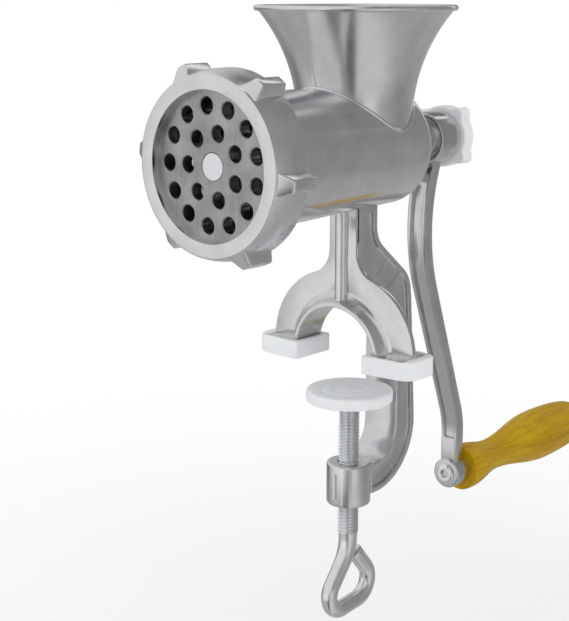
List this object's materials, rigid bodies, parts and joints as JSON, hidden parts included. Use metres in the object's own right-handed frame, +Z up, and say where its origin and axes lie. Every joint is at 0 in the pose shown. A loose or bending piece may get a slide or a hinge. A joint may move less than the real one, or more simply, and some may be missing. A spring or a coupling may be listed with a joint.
{
  "type": "hand crank meat grinder",
  "caption": "Table-clamped hand grinder with a flared hopper, a screw-fed barrel, a holed outlet plate under a ring nut, and a crank with a turned wooden grip.",
  "frame": {"origin": "on the clamp screw's axis, in the plane of the foot pads' undersides, which is the table top", "axes": "+Y along the barrel from its outlet to its crank, +Z up, +X to the right when the outlet is faced"},
  "size_m": [0.0716, 0.239, 0.2285],
  "materials": {
    "cast_aluminium": "polished casting, satin",
    "white_plastic": "milky, semi-gloss",
    "pin_steel": "bright turned steel",
    "bush_bronze": "sintered bronze",
    "washer_fibre": "matt",
    "nut_aluminium": "satin",
    "plate_steel": "ground and brushed",
    "auger_aluminium": "satin casting",
    "crank_aluminium": "polished casting",
    "zinc_steel": "bright zinc plate",
    "varnished_wood": "clear varnish over grain"
  },
  "bodies": {
    "frame": {"grinder_body": "cast_aluminium", "foot_pad_left": "white_plastic", "foot_pad_right": "white_plastic", "plate_key_pin": "pin_steel", "rear_bush": "bush_bronze", "thrust_washer": "washer_fibre"},
    "crank": {"crank_arm": "crank_aluminium", "auger": "auger_aluminium", "auger_stud": "pin_steel", "knife": "plate_steel", "handle_axle": "zinc_steel", "axle_washer": "zinc_steel", "end_washer": "zinc_steel"},
    "grip": {"handle_grip": "varnished_wood"},
    "plate": {"grinding_plate": "plate_steel"},
    "nut": {"ring_nut": "nut_aluminium"},
    "stud": {"knob_stud": "zinc_steel"},
    "knob": {"crank_knob": "white_plastic"},
    "cap": {"clamp_cap": "white_plastic", "clamp_plate": "zinc_steel"},
    "screw": {"clamp_screw": "zinc_steel"}
  },
  "joints": [
    {"name": "crank_turn", "type": "hinge", "parent": "frame", "child": "crank", "pos_m": [0, 0.045, 0.078], "axis": [0, 1, 0], "continuous": true},
    {"name": "grip_spin", "type": "hinge", "parent": "crank", "child": "grip", "pos_m": [0, 0.11, -0.0615], "axis": [0, 1, 0], "continuous": true},
    {"name": "plate_out", "type": "slide", "parent": "frame", "child": "plate", "axis": [0, -1, 0], "range_m": [0, 0.0085]},
    {"name": "nut_turn", "type": "hinge", "parent": "plate", "child": "nut", "pos_m": [0, -0.07, 0.078], "axis": [0, -1, 0], "range_deg": [0, 1020]},
    {"name": "stud_out", "type": "slide", "parent": "crank", "child": "stud", "axis": [0, 1, 0], "range_m": [0, 0.012]},
    {"name": "knob_turn", "type": "hinge", "parent": "stud", "child": "knob", "pos_m": [0, 0.057, 0.078], "axis": [0, 1, 0], "range_deg": [0, 4320]},
    {"name": "cap_travel", "type": "slide", "parent": "frame", "child": "cap", "axis": [0, 0, 1], "range_m": [-0.02, 0.0106]},
    {"name": "screw_turn", "type": "hinge", "parent": "cap", "child": "screw", "pos_m": [0, 0, -0.04], "axis": [0, 0, 1], "range_deg": [-5761, 3053]}
  ],
  "couplings": [
    {"joint": "plate_out", "follows": "nut_turn", "m_per_rad": 0.00047746},
    {"joint": "stud_out", "follows": "knob_turn", "m_per_rad": 0.00015915},
    {"joint": "screw_turn", "follows": "cap_travel", "rad_per_m": 5026.5}
  ]
}
